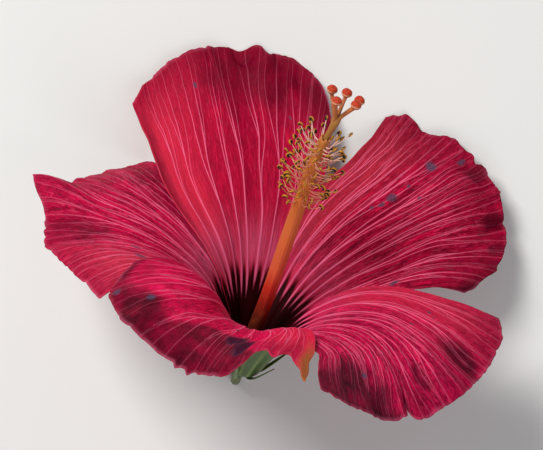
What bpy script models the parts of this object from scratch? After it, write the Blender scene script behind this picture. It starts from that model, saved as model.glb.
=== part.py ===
"""A hibiscus flower as picked, lying on its back: five petals, the stamen column with its
anthers, the pistil with its stigmas, the calyx, the bractlets and a short stalk.

The flower is worked out in its own frame, in millimetres, with +Z along the column and the
origin in the mouth of the throat. It is then laid down on the floor, in metres, +Z up.
"""
import math

import bmesh
import bpy
import numpy as np
from mathutils import Euler, Vector

MM = 0.001

# How the picked flower lies, in degrees: tipped on its back, then turned, then settled.
TIPPED_BACK = 52.0
TURNED = 19.0
SETTLED = (-0.9, 2.3)

# Petals, in millimetres and degrees.
PETAL_THICKNESS = 0.6
BASE_RADIUS = 3.9
BASE_HEIGHT = -22.0
# Distances along a rib from its base at which its opening angle is given.
STATIONS = (0.0, 12.0, 23.0, 34.0, 46.0, 60.0, 80.0)
# Opening angles from the column axis that all the petals share in the throat.
THROAT = (16.0, 24.0, 33.0)
FIRST_PETAL = 118.0
# Opening angles round the mouth, every 36 degrees from the first petal, at the next two stations.
MOUTH_INNER = (46, 57, 56, 36, 58, 43, 48, 49, 50, 43)
MOUTH_OUTER = (56, 76, 73, 57, 59, 60, 61, 63, 59, 52)
PETAL_ROWS = 20
PETAL_COLUMNS = 19

# For each petal: its place in the round, its length, how wide it is at the base and the rim to
# its clockwise and counter-clockwise side, how far those sides turn, how much shorter the sides
# are, its outer opening angles (side, middle, side), how it lies on its neighbours (above or
# below), then the notches in its rim and its folds (place across, width, start, height).
PETALS = {
    "petal_top": dict(
        place=0, length=92, base=(45, 45), rim=35, turn=(7, 1, -12), shorter=(0.21, 0.10),
        cw=(54, 54), mid=(64, 67), ccw=(76, 73), lap=(-0.6, 0.6),
        notches=[(-0.34, 0.05, 2.5)], folds=[(-0.3, 0.15, 0.75, 2.5), (0.75, 0.2, 0.7, -2.0)]),
    "petal_left": dict(
        place=1, length=79, base=(45, 45), rim=34, turn=(-18, -5, -2), shorter=(0.02, 0.06),
        cw=(106, 138), mid=(92, 120), ccw=(96, 162), lap=(-0.6, -0.6),
        notches=[(-0.2, 0.09, -5.0)], folds=[(-0.2, 0.12, 0.75, 7.0), (0.5, 0.2, 0.7, 2.0)]),
    "petal_front_left": dict(
        place=2, length=82, base=(48, 45), rim=40, turn=(-15, -2, -16), shorter=(0.38, 0.0),
        cw=(98, 162), mid=(58, 100), ccw=(72, 75), lap=(1.0, 0.9),
        notches=[(0.55, 0.14, 12.5), (0.8, 0.13, 14.5)], folds=[(-0.35, 0.12, 0.7, 2.0), (0.05, 0.15, 0.7, -2.0)]),
    "petal_front_right": dict(
        place=3, length=82, base=(45, 45), rim=31, turn=(-13, -14, -4), shorter=(0.0, 0.03),
        cw=(61, 83), mid=(80, 116), ccw=(75, 97), lap=(-0.6, 0.6),
        notches=[(-0.1, 0.04, 3.5)], folds=[(0.3, 0.15, 0.7, 2.5), (-0.5, 0.2, 0.7, -2.0)]),
    "petal_right": dict(
        place=4, length=88, base=(45, 45), rim=27, turn=(-4, -2, 2), shorter=(0.21, 0.06),
        cw=(92, 126), mid=(63, 65), ccw=(65, 71), lap=(-0.6, 0.6),
        notches=[(0.62, 0.1, 1.5)], folds=[(0.2, 0.15, 0.7, 2.5), (-0.4, 0.2, 0.7, -2.0)]),
}

# The column: a tube of joined stamens with the style running up inside it.
COLUMN_BOTTOM = -22.0
COLUMN_TOP = 58.0
COLUMN_RADIUS = 2.0
COLUMN_TOP_RADIUS = 1.55
COLUMN_FOOT_RADIUS = 3.0
COLUMN_BORE = 1.0
STAMENS = 36
FIRST_STAMEN = 36.0
LAST_STAMEN = 56.5
FILAMENT_THICKNESS = 0.45
ANTHER_LENGTH = 1.9
ANTHER_WIDTH = 1.2

OVARY_RADIUS = 1.9
STYLE_RADIUS = 0.62
STYLE_SPLIT = 65.5
BRANCH_RADIUS = 0.45
STIGMA_RADIUS = 1.6
STIGMA_THICKNESS = 1.3
# The tips of the five branches, each where its stigma pad sits.
STIGMAS = ((-0.8, 1.8, 72.2), (3.1, 2.2, 72.4), (1.3, -2.6, 72.1), (6.8, 2.1, 71.5), (6.3, -2.1, 72.6))

# Calyx cup with five lobes, bractlets round it, and what is left of the stalk.
CALYX_THICKNESS = 0.6
CALYX_GAP = 1.65
CALYX_NOTCH = 12.0
CALYX_TIP = 22.5
BRACTLETS = 7
BRACTLET_LENGTH = 13.0
BRACTLET_WIDTH = 1.9
BRACTLET_THICKNESS = 0.6
RECEPTACLE_RADIUS = 3.0
STALK_RADIUS = 1.3
STALK_LENGTH = 17.0
# The stalk bends this way, in the flower's frame.
STALK_BEND = (0.0, 0.79, -0.62)


def smooth(value, low, high):
    """Ease from 0 at low to 1 at high."""
    share = np.clip((value - low) / (high - low), 0.0, 1.0)
    return share * share * (3.0 - 2.0 * share)


def mouth_angle(azimuth, angles):
    """Opening angle of the mouth at an azimuth, eased between the ten given ones."""
    place = ((azimuth - FIRST_PETAL) / 36.0) % 10
    index = np.floor(place).astype(int) % 10
    share = smooth(place - np.floor(place), 0.0, 1.0)
    angles = np.asarray(angles, float)
    return angles[index] * (1.0 - share) + angles[(index + 1) % 10] * share


def surface_normals(points):
    """Unit normals of a grid of points, towards the upper face of a petal."""
    normals = np.cross(np.gradient(points, axis=0), np.gradient(points, axis=1))
    return normals / np.maximum(np.linalg.norm(normals, axis=-1, keepdims=True), 1e-9)


def petal_surface(shape, rows, columns):
    """Middle surface of one petal: rows from base to rim, columns from side to side."""
    across = np.linspace(-1.0, 1.0, columns)[None, :]
    along = np.linspace(0.0, 1.0, rows)[:, None]
    clockwise = across < 0.0
    shorter = np.where(clockwise, *shape["shorter"])
    length = shape["length"] * (1.0 - shorter * np.abs(across) ** 3)
    for place, width, depth in shape["notches"]:
        length = length - depth * np.exp(-(((across - place) / width) ** 2))
    distance = along * length

    wide = np.where(clockwise, *shape["base"])
    half = 33.0 + (wide - 33.0) * smooth(distance, 4.0, 22.0)
    half = half + (shape["rim"] - wide) * smooth(distance, 24.0, 0.85 * shape["length"])
    turn_side = np.where(clockwise, shape["turn"][0], shape["turn"][2])
    turn = shape["turn"][1] + (turn_side - shape["turn"][1]) * np.abs(across)
    azimuth = FIRST_PETAL + 72.0 * shape["place"] + across * half
    azimuth = azimuth + turn * smooth(distance, 25.0, shape["length"]) ** 1.3

    angles = [np.full_like(distance, angle) for angle in THROAT]
    angles += [mouth_angle(azimuth, MOUTH_INNER), mouth_angle(azimuth, MOUTH_OUTER)]
    for index in (0, 1):
        side = np.where(clockwise, shape["cw"][index], shape["ccw"][index])
        middle = shape["mid"][index]
        angles.append(middle + (side - middle) * np.abs(across) ** 1.5 + 0.0 * distance)
    opening = angles[-1].copy()
    for index in range(len(STATIONS) - 1):
        start, end = STATIONS[index], STATIONS[index + 1]
        share = (distance - start) / (end - start)
        between = angles[index] * (1.0 - share) + angles[index + 1] * share
        opening = np.where((distance >= start) & (distance < end), between, opening)
    opening = np.radians(opening)

    step = length / (rows - 1)
    halfway = (opening[1:] + opening[:-1]) / 2.0
    start_row = np.zeros((1, columns))
    radius = BASE_RADIUS + np.concatenate([start_row, np.cumsum(np.sin(halfway) * step, 0)])
    height = BASE_HEIGHT + np.concatenate([start_row, np.cumsum(np.cos(halfway) * step, 0)])
    turned = np.radians(azimuth)
    points = np.stack([radius * np.cos(turned), radius * np.sin(turned), height], -1)

    lap = np.where(clockwise, *shape["lap"])
    lift = lap * smooth(np.abs(across), 0.25, 0.55) * smooth(distance, 0.0, 14.0)
    for place, width, start, amount in shape["folds"]:
        bump = np.exp(-(((across - place) / width) ** 2))
        lift = lift + amount * bump * smooth(along, start, 1.0)
    return points + surface_normals(points) * lift[..., None]


def column_centre(height):
    """Centre line of the column and style: a slight lean, and a bend near the top."""
    lean = 0.8 * smooth(height, -20.0, 5.0) + 2.5 * smooth(height, 50.0, 70.0)
    return np.array([float(lean), 0.0, height])


def lay_down():
    """Rotation from the flower's frame to how it lies."""
    tip = Euler((-math.radians(TIPPED_BACK), 0.0, 0.0)).to_matrix()
    turn = Euler((0.0, 0.0, -math.radians(TURNED))).to_matrix()
    settle = Euler((math.radians(SETTLED[0]), math.radians(SETTLED[1]), 0.0)).to_matrix()
    return settle @ turn @ tip


def material(name, colour, roughness):
    """A plain Principled material."""
    made = bpy.data.materials.new(name)
    made.use_nodes = True
    shader = made.node_tree.nodes["Principled BSDF"]
    shader.inputs["Base Color"].default_value = (*colour, 1.0)
    shader.inputs["Roughness"].default_value = roughness
    return made


def add_object(name, mesh_data, made):
    """Put finished mesh data in the scene as one closed, smooth shaded body."""
    mesh = bpy.data.meshes.new(name)
    bmesh.ops.recalc_face_normals(mesh_data, faces=mesh_data.faces)
    mesh_data.to_mesh(mesh)
    mesh_data.free()
    mesh.materials.append(made)
    for face in mesh.polygons:
        face.use_smooth = True
    placed = bpy.data.objects.new(name, mesh)
    bpy.context.collection.objects.link(placed)
    return placed


def loft(rings, mesh_data=None, cap_start=True, cap_end=True):
    """Join rings of points into a skin, with flat caps. Returns the mesh data and its rings."""
    mesh_data = mesh_data or bmesh.new()
    made = [[mesh_data.verts.new(point) for point in ring] for ring in rings]
    for lower, upper in zip(made[:-1], made[1:]):
        count = len(lower)
        for i in range(count):
            mesh_data.faces.new((lower[i], lower[(i + 1) % count], upper[(i + 1) % count], upper[i]))
    if cap_start:
        mesh_data.faces.new(made[0][::-1])
    if cap_end:
        mesh_data.faces.new(made[-1])
    return mesh_data, made


def ring(centre, direction, radius, sides, flatten=1.0, turn=0.0):
    """Points round a centre, square to a direction."""
    direction = Vector(direction).normalized()
    side = direction.orthogonal().normalized()
    if abs(direction.z) > 0.3:
        side = (Vector((1.0, 0.0, 0.0)) - direction * direction.x).normalized()
    other = direction.cross(side)
    points = []
    for i in range(sides):
        angle = 2.0 * math.pi * i / sides + turn
        offset = side * math.cos(angle) + other * math.sin(angle) * flatten
        points.append(Vector(centre) + offset * radius)
    return points


def swept(path, radii, sides, flatten=1.0):
    """A closed tapering rod along a path."""
    rings = []
    for i, (point, radius) in enumerate(zip(path, radii)):
        before = Vector(path[max(i - 1, 0)])
        after = Vector(path[min(i + 1, len(path) - 1)])
        rings.append(ring(point, after - before, radius, sides, flatten))
    return loft(rings)[0]


def petal(name, shape, made):
    """One petal: two faces a thickness apart, joined all round the rim."""
    middle = petal_surface(shape, PETAL_ROWS, PETAL_COLUMNS)
    normals = surface_normals(middle) * (PETAL_THICKNESS / 2.0)
    mesh_data = bmesh.new()
    upper = [[mesh_data.verts.new(point) for point in row] for row in middle + normals]
    lower = [[mesh_data.verts.new(point) for point in row] for row in middle - normals]
    last_row, last_column = PETAL_ROWS - 1, PETAL_COLUMNS - 1
    for i in range(last_row):
        for j in range(last_column):
            mesh_data.faces.new((upper[i][j], upper[i + 1][j], upper[i + 1][j + 1], upper[i][j + 1]))
            mesh_data.faces.new((lower[i][j], lower[i][j + 1], lower[i + 1][j + 1], lower[i + 1][j]))
    border = [(0, j) for j in range(last_column)]
    border += [(i, last_column) for i in range(last_row)]
    border += [(last_row, j) for j in range(last_column, 0, -1)]
    border += [(i, 0) for i in range(last_row, 0, -1)]
    for (i, j), (k, l) in zip(border, border[1:] + border[:1]):
        mesh_data.faces.new((upper[i][j], upper[k][l], lower[k][l], lower[i][j]))
    return add_object(name, mesh_data, made)


def filament_path(index):
    """Foot, bend and tip of one free filament, and the azimuth it points along."""
    share = index / (STAMENS - 1)
    height = FIRST_STAMEN + (LAST_STAMEN - FIRST_STAMEN) * share
    azimuth = math.radians(137.5 * index + 20.0)
    reach = 5.0 + 1.2 * math.sin(math.pi * share) + 0.7 * math.sin(2.3 * index)
    rise = 2.4 + 1.4 * share + 0.8 * math.sin(1.7 * index)
    foot = Vector(column_centre(height))
    out = Vector((math.cos(azimuth), math.sin(azimuth), 0.0))
    foot = foot + out * (column_radius(height) - 0.1)
    bend = foot + out * reach * 0.55 + Vector((0.0, 0.0, rise * 0.35))
    tip = foot + out * (reach - 0.6) + Vector((0.0, 0.0, rise))
    return foot, bend, tip


def column_radius(height):
    """Outer radius of the stamen tube at a height."""
    slim = COLUMN_RADIUS + (COLUMN_TOP_RADIUS - COLUMN_RADIUS) * float(smooth(height, 20.0, COLUMN_TOP))
    flare = (COLUMN_FOOT_RADIUS - COLUMN_RADIUS) * (1.0 - float(smooth(height, COLUMN_BOTTOM, -14.0)))
    return slim + flare


def staminal_column(made):
    """The hollow tube of joined stamens, with the free filaments grown out of its wall."""
    sides = 12
    mesh_data = bmesh.new()
    heights = [COLUMN_BOTTOM, -19.0, -16.0, -13.0, 0.0, 12.0, 24.0]
    heights += list(np.linspace(31.0, COLUMN_TOP, 19))
    outer, inner = [], []
    for height in heights:
        centre = column_centre(height)
        bore = COLUMN_BORE + (2.4 - COLUMN_BORE) * (1.0 - float(smooth(height, -19.0, -13.0)))
        outer.append(ring(centre, (0, 0, 1), column_radius(height), sides))
        inner.append(ring(centre, (0, 0, 1), bore, sides))
    loft(outer + inner[::-1] + outer[:1], mesh_data, False, False)
    bmesh.ops.remove_doubles(mesh_data, verts=mesh_data.verts, dist=1e-6)
    walls = list(mesh_data.faces)
    for index in range(STAMENS):
        foot, bend, tip = filament_path(index)
        centre = Vector(column_centre(foot.z))
        face = min(walls, key=lambda wall: (wall.calc_center_median() - foot).length)
        walls.remove(face)
        out = (foot - centre).normalized()
        bmesh.ops.inset_region(mesh_data, faces=[face], thickness=0.3)
        start = face.calc_center_median()
        stages = ((start + out * 0.35, 0.9), (bend, 0.75), (tip, 0.6))
        direction = out
        for place, size in stages:
            face = bmesh.ops.extrude_discrete_faces(mesh_data, faces=[face])["faces"][0]
            middle = face.calc_center_median()
            heading = (place - middle).normalized()
            turn = direction.rotation_difference(heading)
            half_diagonal = FILAMENT_THICKNESS * size / math.sqrt(2.0)
            offsets = [(turn @ (vert.co - middle)).normalized() * half_diagonal for vert in face.verts]
            for vert, offset in zip(face.verts, offsets):
                vert.co = place + offset
            direction = heading
    return add_object("staminal_column", mesh_data, made)


def anther(index, made):
    """One anther: a small plump bean across the tip of its filament."""
    foot, bend, tip = filament_path(index)
    heading = (tip - bend).normalized()
    centre = tip + heading * (ANTHER_WIDTH / 2.0 + 0.35)
    across = heading.orthogonal().normalized()
    path = [centre + across * ANTHER_LENGTH * share for share in (-0.5, -0.3, 0.0, 0.3, 0.5)]
    radii = [ANTHER_WIDTH * size for size in (0.16, 0.42, 0.5, 0.42, 0.16)]
    return add_object("anther_%02d" % (index + 1), swept(path, radii, 6), made)


def pistil(made):
    """Ovary, style and its five branches, grown as one piece inside the column."""
    sides = 10
    profile = [(-21.7, 1.0), (-21.0, OVARY_RADIUS * 0.9), (-19.5, OVARY_RADIUS), (-17.5, OVARY_RADIUS * 0.75),
               (-15.5, STYLE_RADIUS), (0.0, STYLE_RADIUS), (25.0, STYLE_RADIUS), (50.0, STYLE_RADIUS),
               (54.0, STYLE_RADIUS), (58.0, STYLE_RADIUS), (61.0, STYLE_RADIUS), (64.0, STYLE_RADIUS),
               (STYLE_SPLIT, STYLE_RADIUS * 1.25)]
    rings = [ring(column_centre(height), (0, 0, 1), radius, sides) for height, radius in profile]
    mesh_data, made_rings = loft(rings, cap_end=False)
    top = made_rings[-1]
    split = Vector(column_centre(STYLE_SPLIT + 0.4))
    centre = mesh_data.verts.new(split)
    sectors = []
    for i in range(5):
        corners = (centre, top[2 * i], top[2 * i + 1], top[(2 * i + 2) % sides])
        sectors.append(mesh_data.faces.new(corners))
    for face in sectors:
        face.normal_update()
    free = list(STIGMAS)
    for face in sectors:
        outward = (face.calc_center_median() - split).xy.normalized()
        tip = max(free, key=lambda place: (Vector(place) - split).xy.normalized().dot(outward))
        free.remove(tip)
        goal = Vector(tip) - Vector((0.0, 0.0, STIGMA_THICKNESS / 2.0 + 0.5))
        for share in (0.2, 0.5, 0.8, 1.0):
            face = bmesh.ops.extrude_discrete_faces(mesh_data, faces=[face])["faces"][0]
            start = face.calc_center_median()
            place = split.lerp(goal, share ** 0.8)
            place.z = split.z + (goal.z - split.z) * share
            for vert in face.verts:
                vert.co = place + (vert.co - start).normalized() * BRANCH_RADIUS
    return add_object("pistil", mesh_data, made)


def stigma(index, made):
    """One velvety stigma pad on the end of its branch."""
    x, y, z = STIGMAS[index]
    rings = []
    for angle in (-80, -50, -18, 18, 50, 80):
        high = math.sin(math.radians(angle)) * STIGMA_THICKNESS / 2.0
        wide = math.cos(math.radians(angle)) * STIGMA_RADIUS
        rings.append(ring((x, y, z + high), (0, 0, 1), wide, 10))
    return add_object("stigma_%d" % (index + 1), loft(rings)[0], made)


def throat_profile(distance, offset):
    """Radius and height of the outside of the throat, a distance along it and an offset out."""
    steps = np.linspace(0.0, distance, 24)
    angles = np.radians(np.interp(steps, STATIONS[:3], THROAT))
    halfway = (angles[1:] + angles[:-1]) / 2.0
    radius = BASE_RADIUS + float(np.sum(np.sin(halfway) * np.diff(steps)))
    height = BASE_HEIGHT + float(np.sum(np.cos(halfway) * np.diff(steps)))
    return radius + offset * math.cos(angles[-1]), height - offset * math.sin(angles[-1])


def calyx(made):
    """The green cup: a closed floor, a wall that follows the throat, and five pointed lobes."""
    sides = 40
    inner_gap = CALYX_GAP - CALYX_THICKNESS / 2.0
    outer_gap = CALYX_GAP + CALYX_THICKNESS / 2.0
    rings = []
    floor = BASE_HEIGHT - 0.6
    shares = (0.0, 0.25, 0.5, 0.75, 1.0)
    outer = [(share, outer_gap) for share in shares]
    inner = [(share, inner_gap) for share in shares[::-1]]
    for share, gap in outer + inner:
        points = []
        for i in range(sides):
            azimuth = 2.0 * math.pi * i / sides + math.radians(FIRST_PETAL + 36.0)
            lobe = abs(((5.0 * i / sides) % 1.0) - 0.5) * 2.0
            reach = CALYX_NOTCH + (CALYX_TIP - CALYX_NOTCH) * lobe**0.8
            radius, height = throat_profile(share * reach, gap)
            points.append((radius * math.cos(azimuth), radius * math.sin(azimuth), height))
        rings.append(points)
    low_outer = ring((0, 0, floor - 0.9), (0, 0, 1), 4.4, sides, turn=math.radians(FIRST_PETAL + 36.0))
    low_inner = ring((0, 0, floor), (0, 0, 1), 4.2, sides, turn=math.radians(FIRST_PETAL + 36.0))
    mesh_data = loft([low_outer] + rings + [low_inner])[0]
    return add_object("calyx", mesh_data, made)


def bractlet(index, made):
    """One narrow bractlet of the outer whorl, rising beside the calyx and spreading at its tip."""
    azimuth = math.radians(360.0 / BRACTLETS * index + 10.0)
    out = Vector((math.cos(azimuth), math.sin(azimuth), 0.0))
    side = Vector((-out.y, out.x, 0.0))
    foot_height = BASE_HEIGHT - 2.3
    path = []
    for share in (0.0, 0.2, 0.4, 0.6, 0.8, 1.0):
        reach = 3.9 + 5.2 * share ** 0.55 + 3.0 * share ** 2
        rise = 0.1 + (BRACTLET_LENGTH - 3.0) * share ** 1.35
        path.append(out * reach + Vector((0.0, 0.0, foot_height + rise)))
    rings = []
    for i, centre in enumerate(path):
        share = i / (len(path) - 1)
        along = (path[min(i + 1, len(path) - 1)] - path[max(i - 1, 0)]).normalized()
        face_out = side.cross(along).normalized()
        half_width = BRACTLET_WIDTH / 2.0 * (1.0 - 0.8 * share ** 2.5)
        half_thick = BRACTLET_THICKNESS / 2.0
        corners = ((-1, 0), (-0.6, -1), (0.6, -1), (1, 0), (0.6, 1), (-0.6, 1))
        rings.append([centre + side * a * half_width + face_out * b * half_thick for a, b in corners])
    return add_object("bractlet_%d" % (index + 1), loft(rings)[0], made)


def stalk(made):
    """The short cut stalk, widening into the disc that the flower stands on."""
    bend = Vector(STALK_BEND).normalized()
    start = Vector((0.0, 0.0, BASE_HEIGHT - 2.3))
    path = [start, start - Vector((0, 0, 0.9)), start - Vector((0, 0, 2.0))]
    radii = [RECEPTACLE_RADIUS, RECEPTACLE_RADIUS * 0.8, STALK_RADIUS * 1.3]
    steps = 8
    heading = Vector((0.0, 0.0, -1.0))
    place = path[-1]
    for i in range(steps):
        share = min(1.0, (i + 1) / 4.0)
        direction = heading.lerp(bend, share).normalized()
        place = place + direction * (STALK_LENGTH - 2.0) / steps
        path.append(place)
        radii.append(STALK_RADIUS)
    return add_object("stalk", swept(path, radii, 12), made)


for old in list(bpy.data.objects):
    bpy.data.objects.remove(old, do_unlink=True)

petal_red = material("petal_red", (0.48, 0.01, 0.06), 0.55)
column_orange = material("column_orange", (0.55, 0.13, 0.06), 0.5)
pollen_yellow = material("pollen_yellow", (0.55, 0.36, 0.03), 0.8)
style_tan = material("style_tan", (0.42, 0.22, 0.05), 0.5)
stigma_orange = material("stigma_orange", (0.6, 0.07, 0.01), 0.85)
calyx_green = material("calyx_green", (0.12, 0.2, 0.04), 0.6)

parts = [petal(name, shape, petal_red) for name, shape in PETALS.items()]
parts.append(staminal_column(column_orange))
parts += [anther(index, pollen_yellow) for index in range(STAMENS)]
parts.append(pistil(style_tan))
parts += [stigma(index, stigma_orange) for index in range(len(STIGMAS))]
parts.append(calyx(calyx_green))
parts += [bractlet(index, calyx_green) for index in range(BRACTLETS)]
parts.append(stalk(calyx_green))

rotation = lay_down()
for part in parts:
    for vert in part.data.vertices:
        vert.co = rotation @ vert.co * MM
low = Vector([min(vert.co[axis] for part in parts for vert in part.data.vertices) for axis in range(3)])
high = Vector([max(vert.co[axis] for part in parts for vert in part.data.vertices) for axis in range(3)])
shift = Vector(((low.x + high.x) / 2.0, (low.y + high.y) / 2.0, low.z))
for part in parts:
    for vert in part.data.vertices:
        vert.co -= shift
    part.data.update()
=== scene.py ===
import math
import random

import bmesh
import bpy
import numpy as np
from mathutils import Euler, Matrix, Vector


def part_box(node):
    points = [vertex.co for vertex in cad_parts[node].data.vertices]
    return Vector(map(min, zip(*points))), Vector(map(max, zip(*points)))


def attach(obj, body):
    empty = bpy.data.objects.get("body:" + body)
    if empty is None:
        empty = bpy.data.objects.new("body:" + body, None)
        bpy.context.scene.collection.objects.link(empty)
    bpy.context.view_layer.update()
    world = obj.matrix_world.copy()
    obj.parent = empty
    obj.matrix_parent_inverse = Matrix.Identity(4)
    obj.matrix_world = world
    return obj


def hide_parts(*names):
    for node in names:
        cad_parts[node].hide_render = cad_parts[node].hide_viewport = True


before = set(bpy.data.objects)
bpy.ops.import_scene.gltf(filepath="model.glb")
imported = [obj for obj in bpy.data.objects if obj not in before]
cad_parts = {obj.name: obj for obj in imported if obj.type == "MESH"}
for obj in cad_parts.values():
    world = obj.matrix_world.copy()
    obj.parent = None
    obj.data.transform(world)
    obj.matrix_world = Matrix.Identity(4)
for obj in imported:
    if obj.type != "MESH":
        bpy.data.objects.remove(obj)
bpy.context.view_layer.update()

bpy.ops.object.select_all(action="DESELECT")

# -------- how the flower lies
# A picked hibiscus flower, tipped on its back on two petals and the end of its stalk.
# Shapes are worked out in the flower's own frame, in millimetres: +Z runs along the column
# and the origin is in the mouth of the throat.
MM = 0.001
TIPPED_BACK = 52.0
TURNED = 19.0
SETTLED = (-0.9, 2.3)
STIGMA_TIPS = ((-0.8, 1.8, 72.2), (3.1, 2.2, 72.4), (1.3, -2.6, 72.1), (6.8, 2.1, 71.5), (6.3, -2.1, 72.6))

tip_back = Euler((-math.radians(TIPPED_BACK), 0.0, 0.0)).to_matrix()
turn_round = Euler((0.0, 0.0, -math.radians(TURNED))).to_matrix()
settle = Euler((math.radians(SETTLED[0]), math.radians(SETTLED[1]), 0.0)).to_matrix()
lay_down = settle @ turn_round @ tip_back
low_corner, high_corner = (Vector(corner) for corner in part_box("stigma_1"))
throat = (low_corner + high_corner) / 2.0 - lay_down @ Vector(STIGMA_TIPS[0]) * MM

# -------- camera, floor and light
# The camera looks down on the flower, square to the way that its mouth faces up.
# The floor is plain and pale, and the light is soft, from the far side and the left.
CAMERA_DISTANCE = 0.7
CAMERA_AIM = (0.0026, 0.0214, 0.0)
CAMERA_LENS = 169.0

camera_data = bpy.data.cameras.new("camera")
camera_data.lens = CAMERA_LENS
camera_data.sensor_width = 36.0
camera = bpy.data.objects.new("camera", camera_data)
bpy.context.collection.objects.link(camera)
camera_place = throat + settle @ Vector((0.0, 0.0, CAMERA_DISTANCE))
backward = (camera_place - throat - settle @ Vector(CAMERA_AIM)).normalized()
sideways = (settle.col[1].cross(backward)).normalized()
upward = backward.cross(sideways)
turned = Matrix((sideways, upward, backward)).transposed().to_4x4()
camera.matrix_world = Matrix.Translation(camera_place) @ turned
bpy.context.scene.camera = camera


def soft_light(name, place, power, size, colour):
    """A large lamp aimed at the middle of the flower."""
    lamp_data = bpy.data.lights.new(name, "AREA")
    lamp_data.energy = power
    lamp_data.size = size
    lamp_data.color = colour
    lamp = bpy.data.objects.new(name, lamp_data)
    bpy.context.collection.objects.link(lamp)
    lamp.location = place
    lamp.rotation_euler = (throat - Vector(place)).to_track_quat("-Z", "Y").to_euler()


soft_light("far_light", (-0.4, 0.5, 0.9), 10.8, 0.4, (1.0, 0.98, 0.95))
soft_light("near_light", (0.3, -0.7, 0.9), 4.6, 0.9, (0.95, 0.97, 1.0))

world = bpy.data.worlds.new("pale_room")
world.use_nodes = True
world.node_tree.nodes["Background"].inputs["Color"].default_value = (0.9, 0.92, 0.95, 1.0)
world.node_tree.nodes["Background"].inputs["Strength"].default_value = 0.22
bpy.context.scene.world = world
bpy.context.scene.view_settings.view_transform = "Standard"


def new_finish(name, values):
    """A material with plain values on its main shader; gives it with its tree and shader."""
    made = bpy.data.materials.new(name)
    made.use_nodes = True
    shader = made.node_tree.nodes["Principled BSDF"]
    for socket, value in values.items():
        shader.inputs[socket].default_value = value
    return made, made.node_tree, shader


bpy.ops.mesh.primitive_plane_add(size=6.0, location=(0.0, 0.0, 0.0))
floor = bpy.context.object
floor.name = "floor"
floor.data.materials.append(new_finish("pale_floor", {
    "Base Color": (0.74, 0.74, 0.73, 1.0), "Roughness": 0.8})[0])

# -------- petals
# Five thin soft petals, grown together at the base, each lapping over or under the next.
# The upper face is crimson, darkest in the throat, with pale veins, fine wrinkles and one
# salmon side; the rim is thin, frilled and ragged, and bruised here and there. The wrinkles'
# grooves and creases, and the far part of each petal beyond its shaded line and in its hollows,
# are darkened with painted shade, and the wrinkles' ridges and crests are lightened with painted highlights.
PETAL_THICKNESS = 0.3
BASE_RADIUS = 3.9
BASE_HEIGHT = -22.0
STATIONS = (0.0, 12.0, 23.0, 34.0, 46.0, 60.0, 80.0)
THROAT = (16.0, 24.0, 33.0)
FIRST_PETAL = 118.0
PETAL_SPACING = 72.0
FOOT_HALF_ANGLE = 33.0
EYE_REACH = 25.0
MOUTH_INNER = (46, 57, 56, 36, 58, 43, 48, 49, 50, 43)
MOUTH_OUTER = (56, 76, 73, 57, 59, 60, 61, 63, 59, 52)
PETAL_ROWS = 180
PETAL_COLUMNS = 256
FLOOR_GAP = 0.6
DRY_PETAL = "petal_front_left"
ROTTEN_BRUISE = 2.2
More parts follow.
